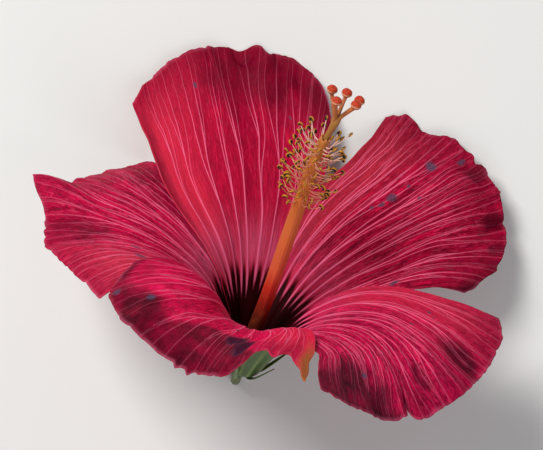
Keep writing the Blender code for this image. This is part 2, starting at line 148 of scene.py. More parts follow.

# Across a petal runs from -1 to 1, clockwise side first, and along it from 0 to 1. Pairs are for the
# clockwise side and the other side. cw, mid and ccw are how far the petal leans out near its rim.
# Notches are (across, width, depth), folds (across, width, where they start, height), bruises
# (across, along, size, length over width) and hollows (across, along, width, reach, depth), which
# dent the petal and darken it there with painted shade. shaded is the line beyond which the petal
# is darkened with painted shade, and dark is how strong that painted shade is. Lengths, depths,
# heights and bruise sizes are in millimetres, and angles in degrees.
PETALS = {
    "petal_top": dict(
        place=0, length=92, base=(45, 45), rim=35, turn=(7, 1, -12), shorter=(0.21, 0.10),
        cw=(54, 54), mid=(64, 67), ccw=(76, 73), lap=(-0.6, 0.6),
        notches=[(-0.34, 0.05, 2.5)],
        folds=[(-0.3, 0.15, 0.75, 2.5), (0.75, 0.2, 0.7, -2.0), (-0.17, 0.06, 0.9, -3.0),
               (-0.42, 0.05, 0.9, -2.0), (0.12, 0.05, 0.9, 1.6)],
        bruises=[(0.39, 0.88, 0.9, 1.5), (-0.53, 0.79, 0.6, 1.0)],
        shaded=[(-1.0, 0.86), (-0.5, 0.8), (0.0, 0.82), (0.4, 0.86), (0.55, 0.98), (0.7, 1.3)],
        shaded_hollows=[(-0.2, 0.96, 0.07, 0.03, 1.5), (-0.62, 0.94, 0.09, 0.05, 1.5), (0.95, 0.72, 0.06, 0.3, 0.8)],
        forks=(0.5, 0.66), wrinkled=0.5, frilled=0.45, dark=0.8, hazed=0.65, soft=0.12, seed=11),
    "petal_left": dict(
        place=1, length=79, base=(45, 45), rim=34, turn=(-18, -5, -2), shorter=(0.02, 0.06),
        cw=(106, 138), mid=(92, 120), ccw=(96, 162), lap=(-0.6, -0.6),
        notches=[(-0.2, 0.12, -4.3)],
        folds=[(-0.2, 0.12, 0.75, 7.0), (0.5, 0.2, 0.7, 2.0), (-0.3, 0.05, 0.88, -2.0)],
        bruises=[(0.66, 0.75, 1.2, 1.4), (0.4, 0.71, 0.9, 1.8), (0.56, 0.74, 0.6, 1.5),
                 (0.76, 0.71, 0.7, 1.5), (-0.93, 0.6, 0.9, 2.5)],
        shaded=[(-1.0, 1.2), (1.0, 1.2)],
        shaded_hollows=[(-0.85, 0.72, 0.2, 0.25, 0.8), (0.16, 0.9, 0.2, 0.14, 1.0)],
        forks=(0.34, 0.46, 0.58, 0.7), wrinkled=1.1, frilled=0.6, dark=0.9, hazed=1.0, soft=0.05, seed=23),
    "petal_front_left": dict(
        place=2, length=82, base=(48, 45), rim=40, turn=(-15, -2, -16), shorter=(0.38, 0.0),
        cw=(98, 162), mid=(58, 100), ccw=(72, 75), lap=(1.0, 0.9),
        notches=[(0.55, 0.14, 12.5), (0.8, 0.13, 14.5), (-0.02, 0.012, -2.0), (-0.07, 0.01, -1.2)],
        folds=[(-0.35, 0.12, 0.7, 2.0), (0.05, 0.15, 0.7, -2.0)],
        bruises=[(-0.54, 0.97, 1.0, 1.5), (-0.43, 0.88, 1.4, 1.2), (-0.11, 0.58, 0.8, 1.0),
                 (0.01, 0.56, 0.9, 1.2), (0.14, 0.76, 3.8, 1.6), (0.3, 0.82, 3.6, 2.2),
                 (0.17, 0.7, 0.9, 1.2)],
        shaded=[(-1.0, 0.96), (-0.55, 0.9), (-0.39, 0.82), (-0.24, 0.86), (-0.18, 0.8), (-0.06, 0.69),
                (0.1, 0.71), (0.2, 0.66), (0.35, 0.8), (0.46, 0.93), (0.56, 1.2)],
        shaded_hollows=[(-0.42, 0.97, 0.08, 0.06, 1.2), (-0.05, 0.88, 0.06, 0.1, 0.8)],
        forks=(0.46, 0.58, 0.7), wrinkled=0.7, frilled=0.6, dark=0.95, hazed=0.6, soft=0.03, seed=37),
    "petal_front_right": dict(
        place=3, length=82, base=(45, 45), rim=31, turn=(-13, -14, -4), shorter=(0.0, 0.03),
        cw=(61, 83), mid=(80, 116), ccw=(75, 97), lap=(-0.6, 0.6),
        notches=[(-0.1, 0.04, 3.5)], folds=[(0.3, 0.15, 0.7, 2.5), (-0.5, 0.2, 0.7, -2.0)],
        bruises=[(-0.51, 0.84, 1.0, 1.2), (-0.14, 0.76, 0.5, 2.0), (0.73, 0.74, 0.5, 1.5),
                 (0.7, 0.76, 0.4, 1.0), (0.46, 0.87, 0.4, 1.0), (0.48, 0.71, 0.5, 2.0)],
        shaded=[(-1.0, 0.82), (-0.7, 0.8), (-0.45, 0.79), (-0.3, 0.88), (-0.2, 0.98), (-0.1, 1.2)],
        shaded_hollows=[(0.55, 0.91, 0.12, 0.09, 2.0), (0.13, 0.88, 0.04, 0.07, 1.2), (-0.1, 0.98, 0.08, 0.04, 1.0)],
        forks=(0.36, 0.48, 0.6, 0.72), wrinkled=1.1, frilled=0.8, dark=1.0, hazed=0.3, soft=0.06, seed=41),
    "petal_right": dict(
        place=4, length=88, base=(45, 45), rim=27, turn=(-4, -2, 2), shorter=(0.21, 0.06),
        cw=(92, 126), mid=(63, 65), ccw=(65, 71), lap=(-0.6, 0.6),
        notches=[(0.62, 0.1, 1.5)],
        folds=[(0.2, 0.15, 0.7, 2.5), (-0.4, 0.2, 0.7, -2.0), (0.24, 0.07, 0.86, -3.0),
               (-0.04, 0.07, 0.86, -2.6), (-0.36, 0.08, 0.86, -2.4)],
        bruises=[(0.38, 0.87, 1.5, 1.3), (0.36, 0.7, 1.1, 2.0), (0.35, 0.66, 0.7, 2.0),
                 (0.38, 0.63, 0.5, 1.5), (0.36, 0.77, 0.5, 1.5), (0.18, 0.77, 0.5, 1.2),
                 (-0.85, 0.65, 0.8, 2.5), (0.27, 0.95, 1.0, 2.0)],
        shaded=[(-1.0, 0.93), (-0.6, 0.97), (-0.5, 1.2)],
        shaded_hollows=[(0.12, 0.975, 0.14, 0.05, 2.5), (-0.32, 0.965, 0.1, 0.05, 2.2),
                 (-0.54, 0.98, 0.07, 0.04, 1.8)],
        forks=(0.36, 0.48, 0.6, 0.72), wrinkled=1.15, frilled=1.1, dark=1.0, hazed=0.35, soft=0.05, seed=59),
}


def laid(points):
    """Points of the flower's own frame put where the flower lies, in metres."""
    return np.asarray(points, float) * MM @ np.array(lay_down).T + np.array(throat)


def smooth(value, low, high):
    """Ease from 0 at low to 1 at high."""
    share = np.clip((np.asarray(value, float) - low) / (high - low), 0.0, 1.0)
    return share * share * (3.0 - 2.0 * share)


def belongs(piece, finish, *solids):
    """The piece lies with the flower and stands for these solids; finish is not used."""
    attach(piece, "root")
    if solids:
        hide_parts(*solids)


def bell(value, middle, width):
    """A smooth bump: 1 at the middle, and nearly 0 two widths away."""
    return np.exp(-(((value - middle) / width) ** 2))


def mouth_angle(azimuth, angles):
    """Opening angle of the mouth at an azimuth, eased between the ten given ones."""
    place = ((azimuth - FIRST_PETAL) / (PETAL_SPACING / 2.0)) % 10
    index = np.floor(place).astype(int) % 10
    share = smooth(place - np.floor(place), 0.0, 1.0)
    angles = np.asarray(angles, float)
    return angles[index] * (1.0 - share) + angles[(index + 1) % 10] * share


def surface_normals(points):
    """Unit normals of a grid of points, towards the upper face of a petal."""
    normals = np.cross(np.gradient(points, axis=0), np.gradient(points, axis=1))
    return normals / np.maximum(np.linalg.norm(normals, axis=-1, keepdims=True), 1e-9)


def mottle(x, y, seed):
    """Soft random values from 0 to 1 over a plane, one random value per whole step."""
    lattice = np.random.RandomState(seed).rand(64, 64)
    x, y = np.broadcast_arrays(x, y)
    column, row = np.floor(x).astype(int), np.floor(y).astype(int)
    across = smooth(x - column, 0.0, 1.0)
    up = smooth(y - row, 0.0, 1.0)
    near, far = (lattice[column % 64, (row + step) % 64] * (1.0 - across)
                 + lattice[(column + 1) % 64, (row + step) % 64] * across for step in (0, 1))
    return near * (1.0 - up) + far * up


def round_axis(radius, turn, height):
    """Points at a radius and a turn, in radians, round the flower's own axis."""
    return np.stack([radius * np.cos(turn), radius * np.sin(turn), height], -1)


def petal_sheet(shape, across, along):
    """Smooth upper surface of one petal, with its distance from the base and half width."""
    clockwise = across < 0.0
    seed = shape["seed"]
    shorter = np.where(clockwise, *shape["shorter"])
    length = shape["length"] * (1.0 - shorter * np.abs(across) ** 3)
    for place, width, depth in shape["notches"]:
        length = length - depth * bell(across, place, width)
    ragged = 1.6 * mottle(across * 7.0 + 20, 0.5, seed) + 0.9 * mottle(across * 19.0 + 30, 0.5, seed + 1)
    ragged = ragged + 0.6 * mottle(across * 45.0 + 50, 0.5, seed + 2) ** 2
    length = length - ragged + 1.4
    distance = along * length

    wide = np.where(clockwise, *shape["base"])
    half = FOOT_HALF_ANGLE + (wide - FOOT_HALF_ANGLE) * smooth(distance, 4.0, 22.0)
    half = half + (shape["rim"] - wide) * smooth(distance, 24.0, 0.85 * shape["length"])
    uneven = mottle(distance * 0.16, np.sign(across), seed + 3) - 0.5
    half = half * (1.0 + 0.03 * uneven * smooth(distance, 30.0, 60.0))
    turn_side = np.where(clockwise, shape["turn"][0], shape["turn"][2])
    turn = shape["turn"][1] + (turn_side - shape["turn"][1]) * np.abs(across)
    meander = 3.4 * (mottle(across * 3.5 + 13, along * 3.2 + 1, seed + 6) - 0.5)
    meander = meander + 1.3 * (mottle(across * 9.0 + 13, along * 7.0 + 1, seed + 7) - 0.5)
    azimuth = FIRST_PETAL + PETAL_SPACING * shape["place"] + across * half
    azimuth = azimuth + meander * (1.0 - across**6) * smooth(distance, 14.0, 40.0)
    azimuth = azimuth + turn * smooth(distance, 25.0, shape["length"]) ** 1.3

    angles = [np.full_like(distance, angle) for angle in THROAT]
    angles += [mouth_angle(azimuth, MOUTH_INNER), mouth_angle(azimuth, MOUTH_OUTER)]
    for index in (0, 1):
        side = np.where(clockwise, shape["cw"][index], shape["ccw"][index])
        middle = shape["mid"][index]
        angles.append(middle + (side - middle) * np.abs(across) ** 1.5 + 0.0 * distance)
    opening = angles[-1].copy()
    for index in range(len(STATIONS) - 1):
        start, end = STATIONS[index], STATIONS[index + 1]
        share = (distance - start) / (end - start)
        between = angles[index] * (1.0 - share) + angles[index + 1] * share
        opening = np.where((distance >= start) & (distance < end), between, opening)
    opening = np.radians(opening)

    rows = along.shape[0]
    step = length[1:] / (rows - 1)
    halfway = (opening[1:] + opening[:-1]) / 2.0
    start_row = np.zeros((1, across.shape[1]))
    radius = BASE_RADIUS + np.concatenate([start_row, np.cumsum(np.sin(halfway) * step, 0)])
    height = BASE_HEIGHT + np.concatenate([start_row, np.cumsum(np.cos(halfway) * step, 0)])
    points = round_axis(radius, np.radians(azimuth), height)

    lap = np.where(clockwise, *shape["lap"])
    lift = lap * smooth(np.abs(across), 0.25, 0.55) * smooth(distance, 0.0, 14.0)
    for place, width, start, amount in shape["folds"]:
        lift = lift + amount * bell(across, place, width) * smooth(along, start, 1.0)
    for place, share, width, reach, depth in shape["shaded_hollows"]:
        lift = lift - depth * bell(across, place, width) * bell(along, share, reach)
    frill = 2.6 * (mottle(across * 6.0 + 9, along * 3.0, seed + 4) - 0.5)
    frill = frill + 1.6 * (mottle(across * 15.0 + 9, along * 5.0, seed + 5) - 0.5)
    lift = lift + shape["frilled"] * frill * smooth(along, 0.68, 1.0) ** 1.5
    points = points + surface_normals(points) * lift[..., None]
    return points, distance, radius * np.radians(half)


def vein_lines(across, along, spread, forks, seed):
    """Nine main veins that fan out, and the thinner twigs that leave them.

    Gives for each kind how far a point is from the nearest line, in half widths, how strongly
    that line shows, and how far it stands up. Neighbouring lines have opposite signs."""
    draw = random.Random(seed)
    stops = np.array([0.0, 0.25, 0.5, 0.75, 1.0])
    mains, twigs = [], []
    for main in range(-4, 5):
        path = round((main * 0.205 + draw.uniform(-0.02, 0.02)) * 128.0) / 128.0 + 0.0 * stops
        mains.append((0.0, path, stops, draw.uniform(0.75, 1.0), 1.0))
        side = draw.choice((-1, 1))
        for fork in forks:
            fork = fork + draw.uniform(-0.04, 0.04)
            reach = draw.uniform(0.05, 0.1)
            foot = float(np.interp(fork, stops, path))
            twig_stops = np.array([fork, fork + 0.12, fork + 0.26, fork + 0.5])
            twig = foot + side * reach * np.array([0.0, 0.5, 0.85, 1.0])
            twigs.append((fork, twig, twig_stops, draw.uniform(0.5, 0.9), 0.75))
            side = -side
    found = []
    for lines in (mains, twigs):
        nearest = np.full_like(spread, 9.0)
        show = np.zeros_like(spread)
        raised = np.zeros_like(spread)
        sign = 1.0
        for fork, line, knots, strength, width in lines:
            aside = (across - np.interp(along, knots, line)) * spread
            half_width = width * (0.13 + 0.62 * np.exp(-along * 4.6))
            gap = aside / half_width
            fade = smooth(along, fork - 0.01, fork + 0.03) if fork else 1.0
            fade = fade * strength * (1.0 - 0.7 * smooth(along, 0.7, 1.0))
            near = (np.abs(gap) < np.abs(nearest)) & (along > fork - 0.02)
            nearest = np.where(near, gap * sign, nearest)
            beside = np.maximum(0.5, 2.0 * half_width)
            clear = 1.0 - smooth(np.abs(aside), beside, np.maximum(0.8, 3.0 * half_width))
            show = np.where(near, fade * clear, show)
            raised = np.maximum(raised, fade * bell(aside, 0.0, np.maximum(half_width, 0.45)))
            sign = -sign
        found.append((np.clip(nearest, -9.0, 9.0), show, raised))
    return found


def node(tree, kind, **settings):
    """A shader node with these settings."""
    made = tree.nodes.new(kind)
    for name, value in settings.items():
        setattr(made, name, value)
    return made


def feed(tree, socket, value):
    """Gives a socket a plain value, or links it to another node's output."""
    if isinstance(value, bpy.types.NodeSocket):
        tree.links.new(value, socket)
    else:
        socket.default_value = value


def blend(tree, share, under, over):
    """The colour of one layer laid over another."""
    mix = node(tree, "ShaderNodeMix", data_type="RGBA", blend_type="MIX", clamp_factor=True)
    feed(tree, mix.inputs["Factor"], share)
    feed(tree, mix.inputs["A"], under)
    feed(tree, mix.inputs["B"], over)
    return mix.outputs["Result"]


def sums(tree, how, first, second, third=None):
    """One step of arithmetic on masks."""
    step = node(tree, "ShaderNodeMath", operation=how)
    feed(tree, step.inputs[0], first)
    feed(tree, step.inputs[1], second)
    if third is not None:
        feed(tree, step.inputs[2], third)
    return step.outputs[0]


def mask(tree, name):
    """A mask painted on the piece's own points."""
    return node(tree, "ShaderNodeAttribute", attribute_name=name).outputs["Fac"]


def remap(tree, value, low, high, to_low=0.0, to_high=1.0):
    """Stretches a band of values."""
    band = node(tree, "ShaderNodeMapRange", clamp=True)
    feed(tree, band.inputs["Value"], value)
    for side, number in (("From Min", low), ("From Max", high), ("To Min", to_low), ("To Max", to_high)):
        band.inputs[side].default_value = number
    return band.outputs["Result"]


def shade(red, green, blue):
    """A colour from its 0 to 255 values, as the shaders take it."""
    values = [part / 255.0 for part in (red, green, blue)]
    return (*[part / 12.92 if part < 0.04 else ((part + 0.055) / 1.055) ** 2.4 for part in values], 1.0)


def new_group(name, inputs, outputs):
    """An empty shader group, what it is given, and what it has to give, as named sockets."""
    tree = bpy.data.node_groups.new(name, "ShaderNodeTree")
    for way, sockets in (("INPUT", inputs), ("OUTPUT", outputs)):
        for kind, names in sockets.items():
            for socket in names:
                tree.interface.new_socket(socket, in_out=way, socket_type=kind)
    return tree, node(tree, "NodeGroupInput").outputs, node(tree, "NodeGroupOutput").inputs


def noise(tree, place, scale, detail, roughness, distortion=0.0):
    """Cloudy random values over the surface."""
    made = node(tree, "ShaderNodeTexNoise")
    values = {"Vector": place, "Scale": scale, "Detail": detail, "Roughness": roughness,
              "Distortion": distortion}
    for socket, value in values.items():
        feed(tree, made.inputs[socket], value)
    return made.outputs["Fac"]


def line_mask(tree, kind):
    """A crisp thin line where the painted distance from a vein is small."""
    gap = sums(tree, "ABSOLUTE", mask(tree, kind + "_gap"), 0.0)
    return sums(tree, "MULTIPLY", remap(tree, gap, 1.3, 0.3), mask(tree, kind + "_show"))


# Shared by the petals: how the painted masks become colour, gloss and fine relief.
petal_group, given, gives = new_group(
    "petal_colouring",
    {"NodeSocketColor": ["Crimson", "Deep", "Bright", "Salmon", "Vein", "Eye", "Haze", "Underside"],
     "NodeSocketFloat": ["Wrinkle Strength"]},
    {"NodeSocketColor": ["Colour"], "NodeSocketFloat": ["Roughness", "Height"]})
tree = petal_group
where = node(tree, "ShaderNodeTexCoord").outputs["Object"]
stretched = node(tree, "ShaderNodeMapping")
feed(tree, stretched.inputs["Vector"], node(tree, "ShaderNodeUVMap", uv_map="UVMap").outputs["UV"])
stretched.inputs["Scale"].default_value = (1.0, 0.16, 1.0)
streaks = noise(tree, stretched.outputs["Vector"], 130.0, 3.0, 0.6, 0.4)
crinkles = noise(tree, stretched.outputs["Vector"], 170.0, 2.0, 0.5, 0.8)
cells = noise(tree, where, 2600.0, 2.0, 0.6)
clouds = noise(tree, where, 90.0, 3.0, 0.6)

crepe = sums(tree, "MULTIPLY", mask(tree, "crepe"), given["Wrinkle Strength"])
crinkle_gap = sums(tree, "ABSOLUTE", sums(tree, "SUBTRACT", crinkles, 0.5), 0.0)
# Painted shade darkens the thin creases of the fine crepe, and a painted highlight lightens their crests.
crease_shade = sums(tree, "MULTIPLY", remap(tree, crinkle_gap, 0.05, 0.0, 0.0, 0.7), crepe)
crest_highlight = sums(tree, "MULTIPLY", remap(tree, crinkle_gap, 0.1, 0.2, 0.0, 0.16), crepe)
# Painted shade: the far mask, broken up by soft clouds, darkens the petal with the deep crimson.
far_shade = sums(tree, "MULTIPLY", mask(tree, "far"), remap(tree, clouds, 0.3, 0.65, 0.62, 1.0))
veins = sums(tree, "MAXIMUM", line_mask(tree, "main"), line_mask(tree, "twig"))
vein_colour = blend(tree, mask(tree, "throat"), given["Vein"], given["Haze"])
vein_share = sums(tree, "SUBTRACT", 1.0, sums(tree, "MULTIPLY", far_shade, 0.65))
pale_rim = sums(tree, "MULTIPLY", mask(tree, "rim"), remap(tree, clouds, 0.4, 0.65, 0.0, 0.35))
bruise_colour = blend(tree, remap(tree, cells, 0.35, 0.65), shade(54, 46, 72), shade(96, 78, 102))
bruise_colour = blend(tree, mask(tree, "rot"), bruise_colour, shade(44, 6, 40))
back_colour = blend(tree, remap(tree, clouds, 0.3, 0.7), given["Underside"], given["Salmon"])
back_colour = blend(tree, sums(tree, "MULTIPLY", veins, 0.5), back_colour, given["Vein"])
back_colour = blend(tree, mask(tree, "dry"), back_colour, shade(180, 100, 48))

# The layers of colour over the crimson, lowest first, each with how much of it shows. The wrinkle
# grooves, the crepe creases and the far part are painted shade, and the wrinkle ridges and crepe crests
# painted highlights.
body = given["Crimson"]
for share, colour in (
        (mask(tree, "salmon"), given["Salmon"]),
        (sums(tree, "MULTIPLY", mask(tree, "shaded_groove"), 0.7), given["Deep"]),
        (remap(tree, streaks, 0.54, 0.76, 0.0, 0.3), given["Bright"]),
        (remap(tree, streaks, 0.46, 0.22, 0.0, 0.3), given["Deep"]),
        (sums(tree, "MULTIPLY", mask(tree, "ridge_highlight"), 0.6), given["Bright"]),
        (crease_shade, given["Deep"]),
        (crest_highlight, given["Vein"]),
        (far_shade, given["Deep"]),
        (mask(tree, "haze"), given["Haze"]),
        (sums(tree, "MULTIPLY", veins, vein_share), vein_colour),
        (remap(tree, mask(tree, "eye"), 0.0, 0.55, 0.0, 0.75), shade(112, 0, 18)),
        (remap(tree, mask(tree, "eye"), 0.4, 0.9), given["Eye"]),
        (pale_rim, given["Vein"]),
        (mask(tree, "bruise"), bruise_colour),
        (mask(tree, "dry"), shade(168, 92, 44)),
        (mask(tree, "under"), back_colour)):
    body = blend(tree, share, body, colour)
feed(tree, gives["Colour"], body)
feed(tree, gives["Roughness"], remap(tree, cells, 0.2, 0.8, 0.46, 0.68))
feed(tree, gives["Height"], sums(tree, "MULTIPLY_ADD", remap(tree, crinkle_gap, 0.0, 0.12), crepe,
                                 sums(tree, "MULTIPLY", cells, 0.15)))


def raise_grain(tree, shader, height, strength, depth):
    """Gives a finish fine relief from a mask of heights."""
    relief = node(tree, "ShaderNodeBump")
    relief.inputs["Strength"].default_value = strength
    relief.inputs["Distance"].default_value = depth
    feed(tree, relief.inputs["Height"], height)
    feed(tree, shader.inputs["Normal"], relief.outputs["Normal"])


def grained_finish(name, group, given_values, depth, values):
    """A finish whose colour, gloss and relief come from a shader group; depth is in metres.

    What the group is given is a plain value, or a function that makes it in the finish's tree."""
    made, tree, shader = new_finish(name, values)
    grain = node(tree, "ShaderNodeGroup", node_tree=group)
    for socket, value in given_values.items():
        feed(tree, grain.inputs[socket], value(tree) if callable(value) else value)
    raise_grain(tree, shader, grain.outputs["Height"], 0.5, depth)
    feed(tree, shader.inputs["Base Color"], grain.outputs["Colour"])
    feed(tree, shader.inputs["Roughness"], grain.outputs["Roughness"])
    return made


def petal_finish(name, crimson, deep, salmon, wrinkles):
    """One petal's own finish: soft, thin and slightly see-through."""
    # Bright lightens random streaks and is the painted highlight on the wrinkles' ridges.
    bright = (min(255, int(crimson[0] * 1.14)), 4, int(crimson[2] * 1.15))
    colours = {"Crimson": crimson, "Deep": deep, "Bright": bright, "Salmon": salmon, "Vein": (240, 112, 150),
               "Eye": (40, 0, 3), "Haze": (222, 104, 146), "Underside": (172, 32, 62)}
    settings = {socket: shade(*colour) for socket, colour in colours.items()}
    return grained_finish(name, petal_group, {**settings, "Wrinkle Strength": wrinkles}, 0.00025, {
        "Subsurface Weight": 0.2, "Subsurface Radius": (1.0, 0.15, 0.25), "Subsurface Scale": 0.0006,
        "Specular IOR Level": 0.07})


def paint(mesh, name, values):
    """Stores a mask on the points of a mesh."""
    layer = mesh.attributes.new(name, "FLOAT", "POINT")
    layer.data.foreach_set("value", np.ascontiguousarray(values, dtype=np.float32).ravel())


def points_of(mesh):
    """The points of a mesh, as rows of x, y and z."""
    flat = np.empty(len(mesh.vertices) * 3)
    mesh.vertices.foreach_get("co", flat)
    return flat.reshape(-1, 3)


def make_petal(name, shape):
    """Shapes a flat grid into one petal, paints its masks and gives it a thickness."""
    bpy.ops.mesh.primitive_grid_add(x_subdivisions=PETAL_COLUMNS, y_subdivisions=PETAL_ROWS, size=2.0)
    petal = bpy.context.object
    petal.name = petal.data.name = name.replace("petal_", "") + "_petal"
    mesh = petal.data
    across, along = points_of(mesh)[:, :2].T.reshape(2, -1, PETAL_COLUMNS + 1)
    along = (along + 1.0) / 2.0
    seed = shape["seed"]
    points, distance, spread = petal_sheet(shape, across, along)
    mains, twigs = vein_lines(across, along, spread, shape["forks"], seed)
    vein = np.maximum(mains[2], 0.6 * twigs[2])

    drift = 2.0 * mottle(across * 4.0 + 9, distance * 0.05, seed + 10)
    long_lines = mottle(across * 36.0 + drift + 90, distance * 0.14, seed + 11)
    fine_lines = mottle(across * 50.0 + 1.7 * drift + 120, distance * 0.17, seed + 12)
    crumple = mottle(across * 34.0 + 90, distance * 0.42, seed + 13)
    # The grooves of the fine wrinkles dent the surface, and the same mask darkens them with painted shade.
    shaded_groove = (1.0 - np.abs(2.0 * long_lines - 1.0)) ** 3
    shaded_groove = np.maximum(shaded_groove, 0.85 * (1.0 - np.abs(2.0 * fine_lines - 1.0)) ** 3)
    shaded_groove = np.maximum(shaded_groove, 0.5 * (1.0 - np.abs(2.0 * crumple - 1.0)) ** 5)
    # Painted highlight: the ridges between the wrinkle grooves are lightened with the bright crimson.
    ridge_highlight = smooth(mottle(across * 9.0 + 33, distance * 0.08, seed + 19), 0.2, 0.8)
    ridge_highlight = ridge_highlight * smooth(np.abs(2.0 * long_lines - 1.0), 0.45, 0.9)
    salmon = smooth(across + 0.25 * (mottle(across * 3.0 + 5, along * 4.0, seed + 14) - 0.5), 0.3, 0.75)
    salmon = salmon * smooth(distance, 26.0, 40.0) * (1.0 - 0.6 * smooth(along, 0.85, 1.0))
    reach = smooth(distance, 14.0, 30.0) * (1.0 - 0.5 * smooth(along, 0.8, 1.0))
    calm = (1.0 - 0.7 * salmon) * (1.0 - vein) * shape["wrinkled"]
    crepe = smooth(distance, 20.0, 36.0) * (1.0 - 0.35 * salmon)
    crepe = crepe * min(1.0, 0.35 + 0.6 * shape["wrinkled"])
    shaded_groove = shaded_groove * reach * calm
    ridge_highlight = ridge_highlight * reach * calm
    pleats = mottle(across * 9.0 + 40, distance * 0.04, seed + 15) - 0.5
    relief = 0.1 * vein * smooth(distance, 8.0, 25.0) - 0.34 * shaded_groove
    relief = relief + (0.15 + 0.4 * shape["wrinkled"]) * pleats * reach
    points = laid(points + surface_normals(points) * relief[..., None])
    points[..., 2] = np.maximum(points[..., 2], FLOOR_GAP * MM)
    mesh.vertices.foreach_set("co", points.ravel())
    mesh.flip_normals()

    streak = mottle(across * 26.0 + 70, distance * 0.02, seed + 16)
    eye_reach = EYE_REACH + 4.0 * (streak - 0.5) - 7.0 * vein - 2.0 * smooth(np.abs(across), 0.6, 1.0)
    eye = 1.0 - smooth(distance, eye_reach - 3.0, eye_reach + 3.0)
    haze = 0.35 + 0.5 * mottle(across * 14.0 + 60, distance * 0.06, seed + 17)
    haze = shape["hazed"] * haze * bell(distance, 29.0, 9.0) * (1.0 - 0.6 * shaded_groove)
    # far is painted shade: it darkens the petal beyond its shaded line and in its hollows, and also makes the
    # petal darker towards its rim.
    line = np.interp(across, *np.array(shape["shaded"]).T)
    cloud = 1.6 * shape["soft"] * (mottle(across * 7.0 + 23, along * 8.0, seed + 20) - 0.5)
    far = smooth(along - line + cloud, -shape["soft"], shape["soft"] + 0.02)
    far = np.maximum(far, 0.5 * smooth(along, 0.75, 1.0))
    for place, share, width, reach, depth in shape["shaded_hollows"]:
        inside = bell(across, place, width) * bell(along, share, reach)
        far = np.maximum(far, smooth(inside, 0.05, 0.85) * min(1.0, 0.5 + 0.3 * depth))
    dry = (name == DRY_PETAL) * smooth(across, 0.86, 0.97) * smooth(along, 0.66, 0.88)
    rim = smooth(np.abs(across), 0.985, 1.0) * smooth(distance, 26.0, 34.0)
    rim = np.maximum(rim, smooth(along, 0.985, 1.0))
    bruise, rot = np.zeros_like(distance), np.zeros_like(distance)
    for place, share, size, stretch in shape["bruises"]:
        aside = (across - place) * spread
        onward = (along - share) * shape["length"] / stretch
        ragged = 0.3 * (mottle(aside * 2.2 + 9, onward * 2.2 + 9, seed + 18) - 0.5)
        spot = smooth(1.0 + ragged - np.hypot(aside, onward) / size, 0.0, 0.5)
        bruise = np.maximum(bruise, spot)
        if size > ROTTEN_BRUISE:
            rot = np.maximum(rot, spot)
    masks = {
        "main_gap": mains[0], "main_show": mains[1], "twig_gap": twigs[0], "twig_show": twigs[1],
        "shaded_groove": shaded_groove, "ridge_highlight": ridge_highlight, "crepe": crepe, "salmon": salmon, "far": shape["dark"] * far,
        "throat": 1.0 - smooth(distance, 24.0, 46.0), "eye": eye, "haze": np.clip(haze, 0.0, 1.0),
        "rim": rim, "dry": dry, "bruise": 0.85 * bruise, "rot": rot}
    for mask_name, values in masks.items():
        paint(mesh, mask_name, values)

    corners = np.empty(len(mesh.loops), dtype=np.int32)
    mesh.loops.foreach_get("vertex_index", corners)
    flat = np.stack([across * 0.35 + 0.5, distance / 100.0], -1).reshape(-1, 2)
    mesh.uv_layers[0].name = "UVMap"
    mesh.uv_layers[0].data.foreach_set("uv", flat[corners].astype(np.float32).ravel())

    upper_points = len(mesh.vertices)
    thicken = petal.modifiers.new("thicken", "SOLIDIFY")
    thicken.thickness = PETAL_THICKNESS * MM
    thicken.offset = -1.0
    bpy.ops.object.modifier_apply(modifier="thicken")
    paint(petal.data, "under", (np.arange(len(petal.data.vertices)) >= upper_points).astype(float))
    petal.data.shade_smooth()
    belongs(petal, "petal", name)
    return petal


# Crimson, deep crimson and salmon side, then how strongly the fine wrinkles show. The deep crimson
# is also the colour of the painted shade in the wrinkles and on the far, shaded part of each petal.
petal_finishes = {
    "petal_top": ((188, 0, 54), (74, 0, 24), (214, 38, 70), 0.7),
    "petal_left": ((226, 0, 76), (84, 0, 28), (208, 46, 76), 1.0),
    "petal_front_left": ((250, 0, 86), (56, 0, 16), (232, 30, 74), 0.8),
    "petal_front_right": ((222, 0, 80), (58, 0, 20), (206, 30, 68), 1.0),
    "petal_right": ((200, 0, 62), (74, 0, 22), (184, 38, 62), 1.0),
}
for name, shape in PETALS.items():
    petal = make_petal(name, shape)
    petal.data.materials.clear()
    petal.data.materials.append(petal_finish(name + "_skin", *petal_finishes[name]))

# -------- stamen column
# A hollow fleshy tube, made of the joined feet of all the stamens, that grows out of the dark
# throat. It is dark red at its foot, orange along its length, and ends in small teeth.
COLUMN_BOTTOM = -22.0
COLUMN_TOP = 58.0
OUTSIDE_ROWS = 150
BORE_ROWS = 30


def column_centre(height):
    """Centre line of the column and style: a slight lean, and a bend near the top."""
    lean = 0.8 * smooth(height, -20.0, 5.0) + 2.5 * smooth(height, 50.0, 70.0)
    return np.stack([lean, 0.0 * lean, np.asarray(height, float)], -1)


def column_radius(height):
    """Outer radius of the stamen tube at a height."""
    slim = 2.0 - 0.45 * smooth(height, 20.0, COLUMN_TOP)
    return slim + 1.0 * (1.0 - smooth(height, COLUMN_BOTTOM, -14.0))


